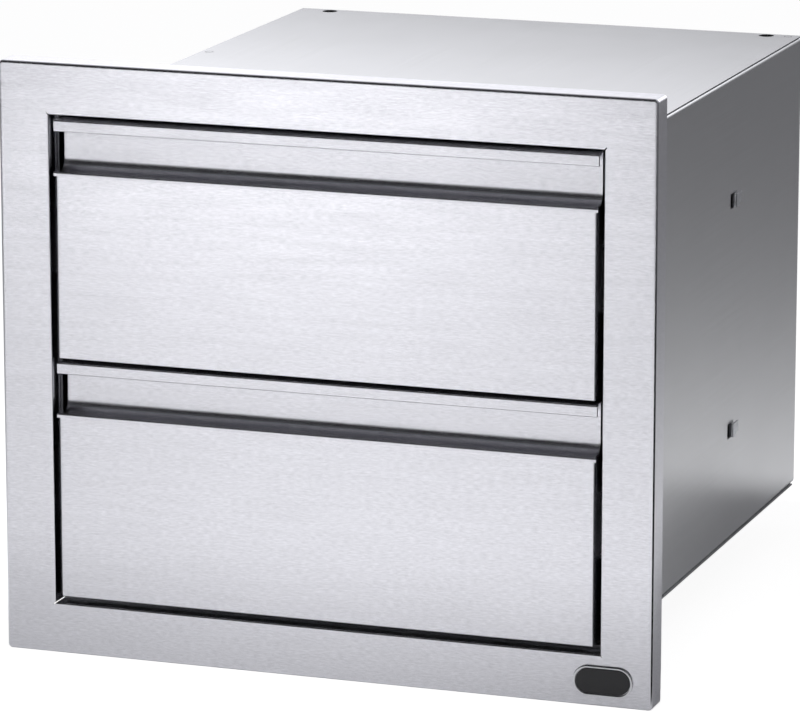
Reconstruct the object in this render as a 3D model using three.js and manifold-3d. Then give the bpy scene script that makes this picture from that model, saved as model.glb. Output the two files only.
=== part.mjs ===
// Built-in stainless steel double drawer unit for an outdoor kitchen island.
// Millimetres. +X is to the viewer's right, +Y goes into the island, +Z is up.
// The origin is on the wall plane, at the middle of the bottom wall flange's rear face.
import * as THREE from 'three'
import * as BufferGeometryUtils from 'three/addons/utils/BufferGeometryUtils.js'
import Module from 'manifold-3d'

const wasm = await Module()
wasm.setup()

// Face frame: one folded sheet that laps the wall round the cut-out.
const frameWidth = 457
const frameHeight = 405
const stileWidth = 35.7
const railHeight = 35
const frameSheet = 1.2
const frameCornerRadius = 3
const outerReturnDepth = 21.4
const innerReturnDepth = 20
const wallFlangeWidth = 14
const wallFlangeSetback = 8
const reliefLength = 5
const reliefWidth = 0.9

// Cabinet: sheets spot-welded together and to the frame's inner return.
const cabinetSheet = 1
const cabinetBendRadius = 2
const cabinetFit = 0.5
const cabinetSetback = 14
const cabinetFlange = 16
const backSheet = 0.8
const backFlange = 16
const backSideFlange = 6
const backFit = 0.1
const topHoleDiameter = 11
const topHoleRoom = 8.1
const topHoleSetback = 7.5

// Telescopic slides, measured across from the cabinet side to the drawer box.
const slideLength = 450
const slideHeight = 45.5
const slideWidth = 12.7
const slideSheet = 1.2
const slideRun = 0.35
const slideSetback = 24
const slideRearRoom = 7
const slideDrop = 50
const outerRailDepth = 11.5
const outerRailLip = 1.55
const middleRailSetback = 4.6
const innerRailDepth = 5.5
const innerRailLead = 2
const stopLength = 5
const stopFit = 0.3

// Hook of each outer rail: a tab that comes out through a slot and points to the rear, outside the side.
const hookPlace = 275.5
const hookSlotLength = 8.5
const hookSlotHeight = 10.6
const hookTabHeight = 9.8
const hookTabLength = 12
const hookTipLength = 6
const hookTipHeight = 7.4
const hookTabSheet = 1
const hookBendRadius = 0.5
const hookReach = 2.4
const hookFit = 0.3

// Drawer front and its finger channel.
const drawerCount = 2
const gapBeside = 4.8
const gapBelow = 4.7
const gapBetween = 2.7
const gapAbove = 3.2
const panSheet = 1
const panDepth = 15
const panCornerRadius = 1.5
const panSideFlange = 25
const panBottomFlange = 16
const channelSheet = 1
const channelOverhang = 1.2
const channelPlateInset = 0.5
const recessHeight = 26.8
const channelPlateSetback = 14
const channelBendRadius = 7
const channelFoldRadius = 0.6
const channelStripHeight = 3
const channelFit = 0.2
const lipHeight = 7.9
const lipHemHeight = 5.5
const lipHemGap = 0.1

// Drawer box behind the front.
const boxSheet = 1
const boxRearRoom = 9
const boxRise = 8
const boxTopDrop = 1.5
const boxFrontDrop = 8.2
const boxFlange = 11
const boxBendRadius = 1
const boxHemHeight = 9
const boxHemGap = 0.1

// Screws.
const screwDiameter = 4
const screwHeadDiameter = 8
const screwHeadHeight = 1.8
const screwFit = 0.3
const screwLength = 4
const railScrewPlaceShares = [0.12, 0.85]
const cabinetScrewPlaceShare = 0.08
const frontScrewInset = 17
const frontScrewPlaceShares = [0.2, 0.8]

// Small blank plate at the lower right of the frame.
const badgeWidth = 41
const badgeHeight = 20.6
const badgeThickness = 1.6
const badgeRim = 1.6
const badgeRecess = 0.5
const badgeFit = 0.3
const badgeCentreFromRight = 33.5
const badgeCentreFromBottom = 17.3

// Shape resolution, grid steps in a millimetre, and the overrun of cutting tools.
const arcSteps = 6
const roundSteps = 16
const gridSteps = 1024
const overrun = 2

// Places worked out from the sizes above.
const front = -outerReturnDepth
const frameLeft = -frameWidth / 2
const frameBottom = -wallFlangeWidth / 2
const openingLeft = frameLeft + stileWidth
const openingWidth = frameWidth - stileWidth - stileWidth
const openingBottom = frameBottom + railHeight
const openingHeight = frameHeight - railHeight - railHeight
const cabinetLeft = openingLeft + cabinetFit
const cabinetBottom = openingBottom + cabinetFit
const cabinetTop = openingBottom + openingHeight - cabinetFit
const slideFront = front + slideSetback
const slideRear = slideFront + slideLength
const cabinetFront = front + cabinetSetback
const cabinetRear = slideRear + slideRearRoom
const sheetRear = cabinetRear - backSheet
const sideInside = cabinetLeft + cabinetSheet
const gapsInHeight = gapBelow + gapAbove + gapBetween * (drawerCount - 1)
const drawerHeight = (openingHeight - gapsInHeight) / drawerCount
const drawerWidth = openingWidth - gapBeside - gapBeside
const panHeight = drawerHeight - lipHeight - recessHeight
const boxHeight = panHeight - boxRise - boxTopDrop
const boxFrontHeight = drawerHeight - boxRise - boxFrontDrop
const hookSlotFront = slideFront + hookPlace
const boxLeft = sideInside + slideWidth
const boxWidth = -boxLeft - boxLeft
const boxFrontPlane = front + panDepth
const boxStart = boxFrontPlane + boxSheet
const boxRear = slideRear - boxRearRoom

// Materials.
const brushedSteel = { color: 0xc9c9cd, roughness: 0.36, metalness: 1 }
const millSteel = { color: 0xa9aaac, roughness: 0.5, metalness: 1 }
const zincSteel = { color: 0x9da0a3, roughness: 0.4, metalness: 1 }
const rubber = { color: 0x222222, roughness: 0.85, metalness: 0 }
const blackEnamel = { color: 0x141416, roughness: 0.3, metalness: 0 }
const brightMetal = { color: 0xd4d4d6, roughness: 0.2, metalness: 1 }

const unit = new THREE.Group()

function addPiece(name, geometry, finish) {
  const piece = new THREE.Mesh(geometryOf(solidOf(geometry)), new THREE.MeshStandardMaterial(finish))
  piece.name = name
  unit.add(piece)
}

// The geometry as a solid, its points moved to the nearest step of a fine grid so that faces meant to
// be level with each other are exactly so.
function solidOf(geometry) {
  const bare = geometry.clone()
  bare.deleteAttribute('normal')
  bare.deleteAttribute('uv')
  const points = bare.attributes.position.array
  points.forEach((value, i) => {
    points[i] = Math.round(value * gridSteps) / gridSteps
  })
  const merged = BufferGeometryUtils.mergeVertices(bare)
  const vertProperties = new Float32Array(merged.attributes.position.array)
  const triVerts = new Uint32Array(merged.index.array)
  return new wasm.Manifold(new wasm.Mesh({ numProp: 3, vertProperties, triVerts }))
}

function geometryOf(solid) {
  const { vertProperties, triVerts } = solid.getMesh()
  const geometry = new THREE.BufferGeometry()
  geometry.setAttribute('position', new THREE.BufferAttribute(vertProperties, 3))
  geometry.setIndex(new THREE.BufferAttribute(triVerts, 1))
  geometry.computeVertexNormals()
  return geometry
}

function join(geometries) {
  return geometryOf(geometries.map(solidOf).reduce((sum, solid) => sum.add(solid)))
}

function cut(geometry, cutters) {
  return geometryOf(cutters.map(solidOf).reduce((rest, solid) => rest.subtract(solid), solidOf(geometry)))
}

// A box from its lowest corner and its size along each axis.
function block([x, y, z], [width, depth, height]) {
  const geometry = new THREE.BoxGeometry(width, depth, height)
  return geometry.translate(x + width / 2, y + depth / 2, z + height / 2)
}

// The same geometry on the other side of the unit's middle plane.
function mirrored(geometry) {
  const copy = solidOf(geometry).mirror([1, 0, 0])
  return geometryOf(copy)
}

// A shape drawn in (y, z), extruded along X.
function extrudeAlongX(shape, x, width) {
  const settings = { depth: width, bevelEnabled: false, curveSegments: arcSteps }
  const geometry = new THREE.ExtrudeGeometry(shape, settings)
  const turn = new THREE.Matrix4().makeBasis(
    new THREE.Vector3(0, 1, 0),
    new THREE.Vector3(0, 0, 1),
    new THREE.Vector3(1, 0, 0),
  )
  return geometry.applyMatrix4(turn).translate(x, 0, 0)
}

// A shape drawn in (x, z), extruded along Y.
function extrudeAlongY(shape, y, depth) {
  const geometry = new THREE.ExtrudeGeometry(shape, { depth, bevelEnabled: false, curveSegments: arcSteps })
  const turn = new THREE.Matrix4().makeBasis(
    new THREE.Vector3(1, 0, 0),
    new THREE.Vector3(0, 0, 1),
    new THREE.Vector3(0, -1, 0),
  )
  return geometry.applyMatrix4(turn).translate(0, y + depth, 0)
}

// A rod along X, Y or Z from its starting point.
function rod(axis, [x, y, z], length, diameter) {
  const geometry = new THREE.CylinderGeometry(diameter / 2, diameter / 2, length, roundSteps)
  geometry.translate(0, length / 2, 0)
  if (axis === 'x') geometry.rotateZ(-Math.PI / 2)
  if (axis === 'z') geometry.rotateX(Math.PI / 2)
  return geometry.translate(x, y, z)
}

// A rectangle with rounded corners, as a Shape or as the hole of one.
function roundedRectangle(Outline, left, bottom, width, height, radius) {
  const right = left + width
  const top = bottom + height
  const outline = new Outline()
  outline.moveTo(left + radius, bottom)
  outline.lineTo(right - radius, bottom)
  outline.absarc(right - radius, bottom + radius, radius, -Math.PI / 2, 0)
  outline.lineTo(right, top - radius)
  outline.absarc(right - radius, top - radius, radius, 0, Math.PI / 2)
  outline.lineTo(left + radius, top)
  outline.absarc(left + radius, top - radius, radius, Math.PI / 2, Math.PI)
  outline.lineTo(left, bottom + radius)
  outline.absarc(left + radius, bottom + radius, radius, Math.PI, Math.PI + Math.PI / 2)
  return outline
}

// A plain rectangle, as a Shape or as the hole of one.
function rectangle(Outline, left, bottom, width, height) {
  const corners = [
    [left, bottom],
    [left + width, bottom],
    [left + width, bottom + height],
    [left, bottom + height],
  ]
  return new Outline(corners.map(([a, b]) => new THREE.Vector2(a, b)))
}

// The section of a folded sheet. The path is the sheet's middle line as [a, b, bend radius] points, and
// each bend is an arc of that inside radius; the outline is the line moved half a sheet to each side.
function foldedSheet(path, thickness) {
  const points = path.map(([a, b]) => new THREE.Vector2(a, b))
  const line = []
  const normalOf = (from, to) => {
    const along = to.clone().sub(from).normalize()
    return new THREE.Vector2(-along.y, along.x)
  }
  line.push({ at: points[0], normal: normalOf(points[0], points[1]) })
  for (let i = 1; i < points.length - 1; i += 1) {
    const into = points[i].clone().sub(points[i - 1]).normalize()
    const out = points[i + 1].clone().sub(points[i]).normalize()
    const turn = Math.atan2(into.cross(out), into.dot(out))
    const radius = path[i][2] + thickness / 2
    const reach = radius * Math.tan(Math.abs(turn) / 2)
    const start = points[i].clone().addScaledVector(into, -reach)
    const side = Math.sign(turn)
    const toCentre = new THREE.Vector2(-into.y, into.x).multiplyScalar(side)
    const centre = start.clone().addScaledVector(toCentre, radius)
    for (let step = 0; step <= arcSteps; step += 1) {
      const angle = (turn * step) / arcSteps
      const inward = toCentre.clone().rotateAround(new THREE.Vector2(), angle)
      const at = centre.clone().addScaledVector(inward, -radius)
      line.push({ at, normal: inward.clone().multiplyScalar(side) })
    }
  }
  const last = points.length - 1
  line.push({ at: points[last], normal: normalOf(points[last - 1], points[last]) })
  const offset = thickness / 2
  const right = line.map(({ at, normal }) => at.clone().addScaledVector(normal, -offset))
  const left = line.map(({ at, normal }) => at.clone().addScaledVector(normal, offset))
  return new THREE.Shape([...right, ...left.reverse()])
}

// A screw along X or Y: the head rests on the sheet, and the shank runs from there toward `sign`.
function screw(axis, [x, y, z], sign, length) {
  const shankStart = sign > 0 ? 0 : -length
  const headStart = sign > 0 ? -screwHeadHeight : 0
  const along = (start) => (axis === 'x' ? [x + start, y, z] : [x, y + start, z])
  return join([
    rod(axis, along(shankStart), length, screwDiameter),
    rod(axis, along(headStart), screwHeadHeight, screwHeadDiameter),
  ])
}

// The hole that a screw's shank passes, from the head's seat toward `sign`.
function screwHole(axis, [x, y, z], sign, length) {
  const start = sign > 0 ? -overrun : -length - overrun
  const place = axis === 'x' ? [x + start, y, z] : [x, y + start, z]
  return rod(axis, place, length + overrun + overrun, screwDiameter + screwFit + screwFit)
}

// Height of a drawer's lower edge.
function drawerBottom(index) {
  return openingBottom + gapBelow + index * (drawerHeight + gapBetween)
}

// Height of the middle of a drawer's slides.
function slideMiddle(index) {
  return drawerBottom(index) + boxRise + boxHeight - slideDrop
}

const drawers = Array.from({ length: drawerCount }, (_, index) => index)
const drawerNames = ['lower', 'upper']

// Face frame

const frameOutline = [frameLeft, frameBottom, frameWidth, frameHeight]
const frameInner = [
  frameLeft + frameSheet,
  frameBottom + frameSheet,
  frameWidth - frameSheet - frameSheet,
  frameHeight - frameSheet - frameSheet,
]
const openingOutline = [openingLeft, openingBottom, openingWidth, openingHeight]
const inwardReturnOutline = [
  openingLeft - frameSheet,
  openingBottom - frameSheet,
  openingWidth + frameSheet + frameSheet,
  openingHeight + frameSheet + frameSheet,
]

function frameRing(outer, outerRadius, inner, innerRadius, depth) {
  const ring = outerRadius > 0
    ? roundedRectangle(THREE.Shape, ...outer, outerRadius)
    : rectangle(THREE.Shape, ...outer)
  const hole = innerRadius > 0
    ? roundedRectangle(THREE.Path, ...inner, innerRadius)
    : rectangle(THREE.Path, ...inner)
  ring.holes.push(hole)
  return extrudeAlongY(ring, front, depth)
}

function wallFlanges() {
  const rear = -frameSheet
  const inset = frameSheet / 2
  const flange = wallFlangeWidth - inset
  const across = frameWidth - wallFlangeSetback - wallFlangeSetback
  const up = frameHeight - wallFlangeSetback - wallFlangeSetback
  const left = frameLeft + inset
  const bottom = frameBottom + inset
  const top = frameBottom + frameHeight - wallFlangeWidth
  const right = frameLeft + frameWidth - wallFlangeWidth
  const stileBottom = frameBottom + wallFlangeWidth + wallFlangeSetback
  const stileHeight = up - wallFlangeWidth - wallFlangeWidth
  return [
    block([frameLeft + wallFlangeSetback, rear, bottom], [across, frameSheet, flange]),
    block([frameLeft + wallFlangeSetback, rear, top], [across, frameSheet, flange]),
    block([left, rear, stileBottom], [flange, frameSheet, stileHeight]),
    block([right, rear, stileBottom], [flange, frameSheet, stileHeight]),
  ]
}

function reliefNotches() {
  const corners = [
    [openingLeft, openingBottom],
    [openingLeft + openingWidth, openingBottom],
    [openingLeft, openingBottom + openingHeight],
    [openingLeft + openingWidth, openingBottom + openingHeight],
  ]
  return corners.map(([x, z], index) => {
    const lean = index === 0 || index === 3 ? 1 : -1
    const depth = innerReturnDepth + overrun + overrun
    const notch = new THREE.BoxGeometry(reliefLength, depth, reliefWidth)
    notch.rotateY((-lean * Math.PI) / 4)
    return notch.translate(x, front + depth / 2 - overrun, z)
  })
}

const frameBody = join([
  frameRing(frameOutline, frameCornerRadius, openingOutline, 0, frameSheet),
  frameRing(frameOutline, frameCornerRadius, frameInner, frameCornerRadius - frameSheet, outerReturnDepth),
  frameRing(inwardReturnOutline, 0, openingOutline, 0, innerReturnDepth),
  ...wallFlanges(),
])
addPiece('face_frame', cut(frameBody, reliefNotches()), brushedSteel)

// Blank plate on the frame

const badgeLeft = frameLeft + frameWidth - badgeCentreFromRight - badgeWidth / 2
const badgeBottom = frameBottom + badgeCentreFromBottom - badgeHeight / 2
const badgeRadius = badgeHeight / 2
const badgeOutline = roundedRectangle(
  THREE.Shape,
  badgeLeft,
  badgeBottom,
  badgeWidth,
  badgeHeight,
  badgeRadius,
)
const badgeFieldWidth = badgeWidth - badgeRim - badgeRim
const badgeFieldHeight = badgeHeight - badgeRim - badgeRim
const badgeField = roundedRectangle(
  THREE.Path,
  badgeLeft + badgeRim,
  badgeBottom + badgeRim,
  badgeFieldWidth,
  badgeFieldHeight,
  badgeRadius - badgeRim,
)
badgeOutline.holes.push(badgeField)
addPiece('badge_rim', extrudeAlongY(badgeOutline, front - badgeThickness, badgeThickness), brightMetal)
const inlayInset = badgeRim + badgeFit
const badgeInlay = roundedRectangle(
  THREE.Shape,
  badgeLeft + inlayInset,
  badgeBottom + inlayInset,
  badgeWidth - inlayInset - inlayInset,
  badgeHeight - inlayInset - inlayInset,
  badgeRadius - inlayInset,
)
const inlayThickness = badgeThickness - badgeRecess
addPiece('badge_inlay', extrudeAlongY(badgeInlay, front - inlayThickness, inlayThickness), blackEnamel)

// Cabinet sides: folded channels with the slots of the slides' hooks

const sheetDepth = cabinetRear - cabinetFront

function cabinetSide() {
  const middle = cabinetSheet / 2
  const web = cabinetLeft + middle
  const low = cabinetBottom + cabinetSheet + middle
  const high = cabinetTop - cabinetSheet - middle
  const section = foldedSheet(
    [
      [cabinetLeft + cabinetFlange, low],
      [web, low, cabinetBendRadius],
      [web, high, cabinetBendRadius],
      [cabinetLeft + cabinetFlange, high],
    ],
    cabinetSheet,
  )
  const side = extrudeAlongY(section, cabinetFront, sheetDepth)
  const slots = drawers.map((index) => block(
    [cabinetLeft - overrun, hookSlotFront, slideMiddle(index) - hookSlotHeight / 2],
    [cabinetSheet + overrun + overrun, hookSlotLength, hookSlotHeight],
  ))
  const holes = drawers.map((index) => screwHole('x', cabinetScrewPlace(index), -1, screwLength))
  return cut(side, [...slots, ...holes])
}

// Where the head of an outer rail's screw seats, on the left side.
function cabinetScrewPlace(index) {
  return [sideInside + slideSheet, slideFront + slideLength * cabinetScrewPlaceShare, slideMiddle(index)]
}

const leftSide = cabinetSide()
addPiece('cabinet_side_left', leftSide, millSteel)
addPiece('cabinet_side_right', mirrored(leftSide), millSteel)

// Cabinet top, bottom and back

const cabinetWidth = -cabinetLeft - cabinetLeft

function topHoles() {
  const x = cabinetLeft + cabinetFlange + topHoleRoom
  const y = cabinetRear - topHoleSetback
  const z = cabinetTop - cabinetSheet - backSheet - overrun
  const depth = cabinetSheet + backSheet + overrun + overrun
  return [x, -x].map((at) => rod('z', [at, y, z], depth, topHoleDiameter))
}

const topSheet = block(
  [cabinetLeft, cabinetFront, cabinetTop - cabinetSheet],
  [cabinetWidth, sheetDepth, cabinetSheet],
)
addPiece('cabinet_top', cut(topSheet, topHoles()), millSteel)

const bottomMiddle = cabinetSheet / 2
const bottomSection = foldedSheet(
  [
    [cabinetFront, cabinetBottom + bottomMiddle],
    [sheetRear - bottomMiddle, cabinetBottom + bottomMiddle, cabinetBendRadius],
    [sheetRear - bottomMiddle, cabinetBottom + cabinetFlange],
  ],
  cabinetSheet,
)
const bottomInset = cabinetFlange + cabinetFit
const bottomPlain = extrudeAlongX(bottomSection, cabinetLeft, cabinetWidth)
const bottomCornerSize = [bottomInset + overrun, backFlange + overrun, cabinetFlange + overrun]
const bottomCorner = block(
  [cabinetLeft - overrun, sheetRear - backFlange, cabinetBottom + cabinetSheet],
  bottomCornerSize,
)
addPiece('cabinet_bottom', cut(bottomPlain, [bottomCorner, mirrored(bottomCorner)]), millSteel)

// A pan between the sides and under the top, its edges folded forward and welded to them.
function cabinetBack() {
  const left = sideInside + backFit
  const flangeStart = cabinetRear - backFlange
  const width = -left - left
  const height = cabinetTop - cabinetSheet - cabinetBottom
  const pan = block([left, flangeStart, cabinetBottom], [width, backFlange, height])
  const hollow = block(
    [left + backSheet, flangeStart - overrun, cabinetBottom - overrun],
    [width - backSheet - backSheet, backFlange - backSheet + overrun, height - backSheet + overrun],
  )
  const sideStrip = block(
    [left - overrun, flangeStart - overrun, cabinetBottom - overrun],
    [backSheet + overrun + overrun, backFlange - backSideFlange + overrun, height + overrun + overrun],
  )
  const edgeNotches = backNotches(bottomInset - cabinetSheet, cabinetSheet + backFit)
  const bendNotches = backNotches(cabinetBendRadius, cabinetSheet + cabinetBendRadius)
  const leftCuts = [sideStrip, ...edgeNotches, ...bendNotches]
  return cut(pan, [hollow, ...leftCuts, ...leftCuts.map(mirrored), ...topHoles()])
}

// Notches in the back's left corners, which clear a side's folded edge: so far in, above and below.
function backNotches(reach, height) {
  const start = [sideInside - overrun, cabinetRear - backFlange - overrun]
  const size = [reach + overrun, backFlange + overrun + overrun, height + overrun + cabinetSheet]
  const upper = block([...start, cabinetTop - cabinetSheet - height], size)
  const lower = block([...start, cabinetBottom - overrun], size)
  return [upper, lower]
}

addPiece('cabinet_back', cabinetBack(), millSteel)

// Slides: rails on the left side, seen from the front as [distance from the cabinet side, height].
// Each section is a channel whose flanges point across, and the rails nest with a running gap.

const outerInside = slideHeight / 2 - slideSheet
const middleOutside = outerInside - slideRun
const innerOutside = middleOutside - slideSheet - slideRun

function channel(webAt, tipAt, outside, height, lip) {
  const middle = slideSheet / 2
  const top = height + outside - middle
  const low = height - outside + middle
  const web = sideInside + webAt + middle
  const inward = tipAt > webAt ? 1 : -1
  const tip = sideInside + tipAt
  const lipLine = tip - inward * middle
  const path = [
    [web, low, 0],
    [web, top, 0],
  ]
  const lower = lip > 0 ? [[lipLine, low + lip], [lipLine, low, 0]] : [[tip, low]]
  const upper = lip > 0 ? [[lipLine, top, 0], [lipLine, top - lip]] : [[tip, top]]
  return foldedSheet([...lower, ...path, ...upper], slideSheet)
}

// The hook tab of an outer rail, folded in plan: out through the slot, then toward the rear.
function hookTab(height) {
  const middle = hookTabSheet / 2
  const armAt = hookSlotFront + hookSlotLength - hookFit - middle
  const outside = cabinetLeft - hookReach + middle
  const plan = foldedSheet(
    [
      [sideInside + slideSheet, armAt],
      [outside, armAt, hookBendRadius],
      [outside, armAt + hookTabLength],
    ],
    hookTabSheet,
  )
  const low = height - hookTabHeight / 2
  const tab = new THREE.ExtrudeGeometry(plan, { depth: hookTabHeight, bevelEnabled: false })
  const tipCut = block(
    [outside - middle - overrun, armAt + hookTabLength - hookTipLength, low - overrun],
    [hookTabSheet + overrun + overrun, hookTipLength + overrun, hookTabHeight - hookTipHeight + overrun],
  )
  return cut(tab.translate(0, 0, low), [tipCut])
}

// The rail's web has a window in front of the tab, from which the tab was cut and bent.
function outerRail(index) {
  const height = slideMiddle(index)
  const section = channel(0, outerRailDepth, slideHeight / 2, height, outerRailLip)
  const rail = extrudeAlongY(section, slideFront, slideLength)
  const hole = screwHole('x', cabinetScrewPlace(index), -1, screwLength)
  const window = block(
    [sideInside - overrun, hookSlotFront, height - hookTabHeight / 2],
    [slideSheet + overrun + overrun, hookSlotLength - hookFit - hookTabSheet, hookTabHeight],
  )
  return cut(join([rail, hookTab(height)]), [hole, window])
}

function middleRail(index) {
  const tip = outerRailDepth - slideSheet - slideRun
  const section = channel(middleRailSetback, tip, middleOutside, slideMiddle(index), 0)
  return extrudeAlongY(section, slideFront, slideLength - stopLength)
}

// Where the heads of an inner rail's screws seat, inside the drawer box on the left.
function railScrewPlaces(index) {
  return railScrewPlaceShares.map((share) => [
    boxLeft + boxSheet,
    boxStart + innerRailLead + slideLength * share,
    slideMiddle(index),
  ])
}

function innerRail(index) {
  const middle = slideSheet / 2
  const height = slideMiddle(index)
  const web = boxLeft - middle
  const tip = boxLeft - innerRailDepth
  const top = height + innerOutside - middle
  const low = height - innerOutside + middle
  const section = foldedSheet([[tip, top], [web, top, 0], [web, low, 0], [tip, low]], slideSheet)
  const start = boxStart + innerRailLead
  const rail = extrudeAlongY(section, start, boxRear - start)
  return cut(rail, railScrewPlaces(index).map((place) => screwHole('x', place, -1, screwLength)))
}

// Rubber block at the rear end of an outer rail, where the middle rail stops.
function railStop(index) {
  const left = sideInside + slideSheet
  const depth = stopLength - stopFit
  const width = outerRailDepth - slideSheet - slideSheet - slideRun
  const height = outerInside + outerInside - slideRun - slideRun
  return block(
    [left, slideRear - depth, slideMiddle(index) - height / 2],
    [width, depth, height],
  )
}

for (const index of drawers) {
  const name = drawerNames[index]
  const pieces = [
    ['outer_rail', outerRail(index), zincSteel],
    ['middle_rail', middleRail(index), zincSteel],
    ['inner_rail', innerRail(index), zincSteel],
    ['rail_stop', railStop(index), rubber],
  ]
  for (const [kind, geometry, finish] of pieces) {
    addPiece(`${name}_${kind}_left`, geometry, finish)
    addPiece(`${name}_${kind}_right`, mirrored(geometry), finish)
  }
}

for (const index of drawers) {
  const geometry = screw('x', cabinetScrewPlace(index), -1, screwLength)
  addPiece(`${drawerNames[index]}_outer_rail_screw_left`, geometry, zincSteel)
  addPiece(`${drawerNames[index]}_outer_rail_screw_right`, mirrored(geometry), zincSteel)
}

// Drawer front: a pan with returns and rear flanges

const frontLeft = -drawerWidth / 2
const panClearance = channelSheet + channelFit
const panBodyHeight = panHeight - panClearance

function frontScrewPlaces(bottom) {
  return frontScrewPlaceShares.flatMap((share) => {
    const z = bottom + panHeight * share
    return [frontLeft + frontScrewInset, -frontLeft - frontScrewInset].map((x) => [x, boxStart, z])
  })
}

function frontPan(bottom) {
  const shell = roundedRectangle(
    THREE.Shape,
    frontLeft,
    bottom,
    drawerWidth,
    panBodyHeight,
    panCornerRadius,
  )
  const hollow = roundedRectangle(
    THREE.Shape,
    frontLeft + panSheet,
    bottom + panSheet,
    drawerWidth - panSheet - panSheet,
    panBodyHeight - panSheet - panSheet,
    panCornerRadius - panSheet,
  )
  const mouth = rectangle(
    THREE.Shape,
    frontLeft + panSideFlange,
    bottom + panBottomFlange,
    drawerWidth - panSideFlange - panSideFlange,
    panBodyHeight - panBottomFlange - panSheet,
  )
  const body = cut(extrudeAlongY(shell, front, panDepth), [
    extrudeAlongY(hollow, front + panSheet, panDepth - panSheet - panSheet),
    extrudeAlongY(mouth, front + panSheet, panDepth),
  ])
  return cut(body, frontScrewPlaces(bottom).map((place) => screwHole('y', place, -1, screwLength)))
}

// Finger channel: a strip folded over the pan's top edge, a floor, a round bend up to a plate, a top and
// a hemmed lip. Its section is drawn as [depth, height].

function fingerChannel(bottom) {
  const middle = channelSheet / 2
  const stripAt = front - channelFit - middle
  const floorAt = bottom + panHeight - middle
  const plateAt = front + channelPlateSetback + middle
  const topAt = bottom + drawerHeight - middle
  const lipAt = front + middle
  const lipBottom = bottom + drawerHeight - lipHeight + middle
  const hemAt = lipAt + channelSheet + lipHemGap
  const hemRadius = lipHemGap / 2
  const strip = foldedSheet(
    [
      [stripAt, bottom + panHeight - channelStripHeight],
      [stripAt, floorAt, channelFit],
      [front + channelSheet, floorAt],
    ],
    channelSheet,
  )
  const body = foldedSheet(
    [
      [front, floorAt],
      [plateAt, floorAt, channelBendRadius - middle],
      [plateAt, topAt, channelFoldRadius],
      [front + channelSheet + channelSheet, topAt],
    ],
    channelSheet,
  )
  const lip = foldedSheet(
    [
      [front + lipHeight / 2, topAt],
      [lipAt, topAt, channelFoldRadius],
      [lipAt, lipBottom, hemRadius],
      [hemAt, lipBottom, hemRadius],
      [hemAt, lipBottom + lipHemHeight],
    ],
    channelSheet,
  )
  const wideLeft = frontLeft - channelOverhang
  const plateLeft = frontLeft + channelPlateInset
  return join([
    extrudeAlongX(strip, wideLeft, -wideLeft - wideLeft),
    extrudeAlongX(body, plateLeft, -plateLeft - plateLeft),
    extrudeAlongX(lip, wideLeft, -wideLeft - wideLeft),
  ])
}

// Drawer box

function boxSide(index, bottom) {
  const middle = boxSheet / 2
  const low = bottom + boxRise + middle
  const high = bottom + boxRise + boxHeight - middle
  const web = boxLeft + middle
  const hemAt = web + boxSheet + boxHemGap
  const hemRadius = boxHemGap / 2
  const section = foldedSheet(
    [
      [boxLeft + boxFlange, low],
      [web, low, boxBendRadius],
      [web, high, hemRadius],
      [hemAt, high, hemRadius],
      [hemAt, high - boxHemHeight],
    ],
    boxSheet,
  )
  const side = extrudeAlongY(section, boxStart, boxRear - boxStart)
  return cut(side, railScrewPlaces(index).map((place) => screwHole('x', place, -1, screwLength)))
}

function boxFront(bottom) {
  const sheet = block([boxLeft, boxFrontPlane, bottom + boxRise], [boxWidth, boxSheet, boxFrontHeight])
  return cut(sheet, frontScrewPlaces(bottom).map((place) => screwHole('y', place, -1, screwLength)))
}

function boxFloor(bottom) {
  const inset = boxSheet + boxBendRadius + boxSheet
  return block(
    [boxLeft + inset, boxStart, bottom + boxRise + boxSheet],
    [boxWidth - inset - inset, boxRear - boxStart, boxSheet],
  )
}

function boxBack(bottom) {
  const inset = boxSheet
  const low = bottom + boxRise + boxSheet + boxSheet + boxBendRadius
  const high = bottom + boxRise + boxHeight - boxSheet - boxHemHeight
  const middle = boxSheet / 2
  const section = foldedSheet(
    [
      [boxRear - boxFlange, high - middle],
      [boxRear - middle, high - middle, boxBendRadius],
      [boxRear - middle, low],
    ],
    boxSheet,
  )
  return extrudeAlongX(section, boxLeft + inset, boxWidth - inset - inset)
}

for (const index of drawers) {
  const name = drawerNames[index]
  const bottom = drawerBottom(index)
  addPiece(`${name}_front_pan`, frontPan(bottom), brushedSteel)
  addPiece(`${name}_finger_channel`, fingerChannel(bottom), brushedSteel)
  addPiece(`${name}_box_front`, boxFront(bottom), millSteel)
  const side = boxSide(index, bottom)
  addPiece(`${name}_box_side_left`, side, millSteel)
  addPiece(`${name}_box_side_right`, mirrored(side), millSteel)
  addPiece(`${name}_box_floor`, boxFloor(bottom), millSteel)
  addPiece(`${name}_box_back`, boxBack(bottom), millSteel)
  railScrewPlaces(index).forEach((place, order) => {
    const geometry = screw('x', place, -1, screwLength)
    addPiece(`${name}_inner_rail_screw_left_${order + 1}`, geometry, zincSteel)
    addPiece(`${name}_inner_rail_screw_right_${order + 1}`, mirrored(geometry), zincSteel)
  })
  frontScrewPlaces(bottom).forEach((place, order) => {
    addPiece(`${name}_front_screw_${order + 1}`, screw('y', place, -1, screwLength), zincSteel)
  })
}

export default unit
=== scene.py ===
import math

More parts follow.
